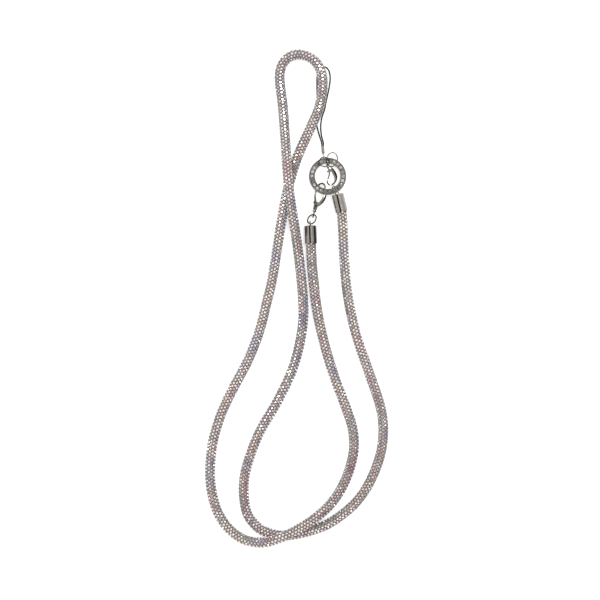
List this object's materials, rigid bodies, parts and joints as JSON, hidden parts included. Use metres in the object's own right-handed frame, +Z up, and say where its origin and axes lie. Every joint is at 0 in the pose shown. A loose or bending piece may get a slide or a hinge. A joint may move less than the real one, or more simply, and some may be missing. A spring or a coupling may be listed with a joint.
{
  "type": "phone crossbody strap",
  "caption": "Stone-covered rope strap with metal end caps, joined by a studded ring, a swivel clasp and a corded clasp, lying in loops.",
  "frame": {"origin": "Middle of the outline's box, on the surface that the strap lies on.", "axes": "+Z up off the surface, +Y along the strap's long way from the lower bends to the ring and the upper loop, +X to the right as seen from above."},
  "size_m": [0.1229, 0.333, 0.015],
  "materials": {
    "nickel": "polished",
    "strap_stones": "many small cut stones with an iridescent coating",
    "clear_stone": "clear cut glass",
    "black_cord": "woven, matt"
  },
  "bodies": {
    "root": {"end_cap_left": "nickel", "end_cap_right": "nickel", "jump_ring": "nickel", "swivel_eye": "nickel", "strap_clasp": "nickel", "studded_ring": "nickel", "small_ring": "nickel", "thin_ring": "nickel", "cord_crimp": "nickel", "small_clasp": "nickel", "ring_stone_01": "clear_stone", "ring_stone_02": "clear_stone", "ring_stone_03": "clear_stone", "ring_stone_04": "clear_stone", "ring_stone_05": "clear_stone", "ring_stone_06": "clear_stone", "ring_stone_07": "clear_stone", "ring_stone_08": "clear_stone", "ring_stone_09": "clear_stone", "ring_stone_10": "clear_stone", "ring_stone_11": "clear_stone", "ring_stone_12": "clear_stone", "ring_stone_13": "clear_stone", "ring_stone_14": "clear_stone", "ring_stone_15": "clear_stone", "ring_stone_16": "clear_stone", "ring_stone_17": "clear_stone", "ring_stone_18": "clear_stone", "ring_stone_19": "clear_stone", "ring_stone_20": "clear_stone", "ring_stone_21": "clear_stone", "ring_stone_22": "clear_stone", "strap_rope_a": "strap_stones", "strap_rope_b": "strap_stones", "lariat_cord": "black_cord"},
    "strap_clasp_lever": {"strap_clasp_lever": "nickel"},
    "small_clasp_lever": {"small_clasp_lever": "nickel"}
  },
  "joints": [
    {"name": "strap_clasp_gate", "type": "hinge", "parent": "root", "child": "strap_clasp_lever", "pos_m": [0.01275, 0.06357, 0.00231], "axis": [0.6364, -0.154, -0.7558], "range_deg": [0, 20], "stiffness_Nm_per_rad": 0.002, "springref_deg": -11.46},
    {"name": "small_clasp_gate", "type": "hinge", "parent": "root", "child": "small_clasp_lever", "pos_m": [0.02182, 0.08499, 0.00599], "axis": [0.0806, -0.2811, 0.9563], "range_deg": [0, 18], "stiffness_Nm_per_rad": 0.002, "springref_deg": -11.46}
  ]
}
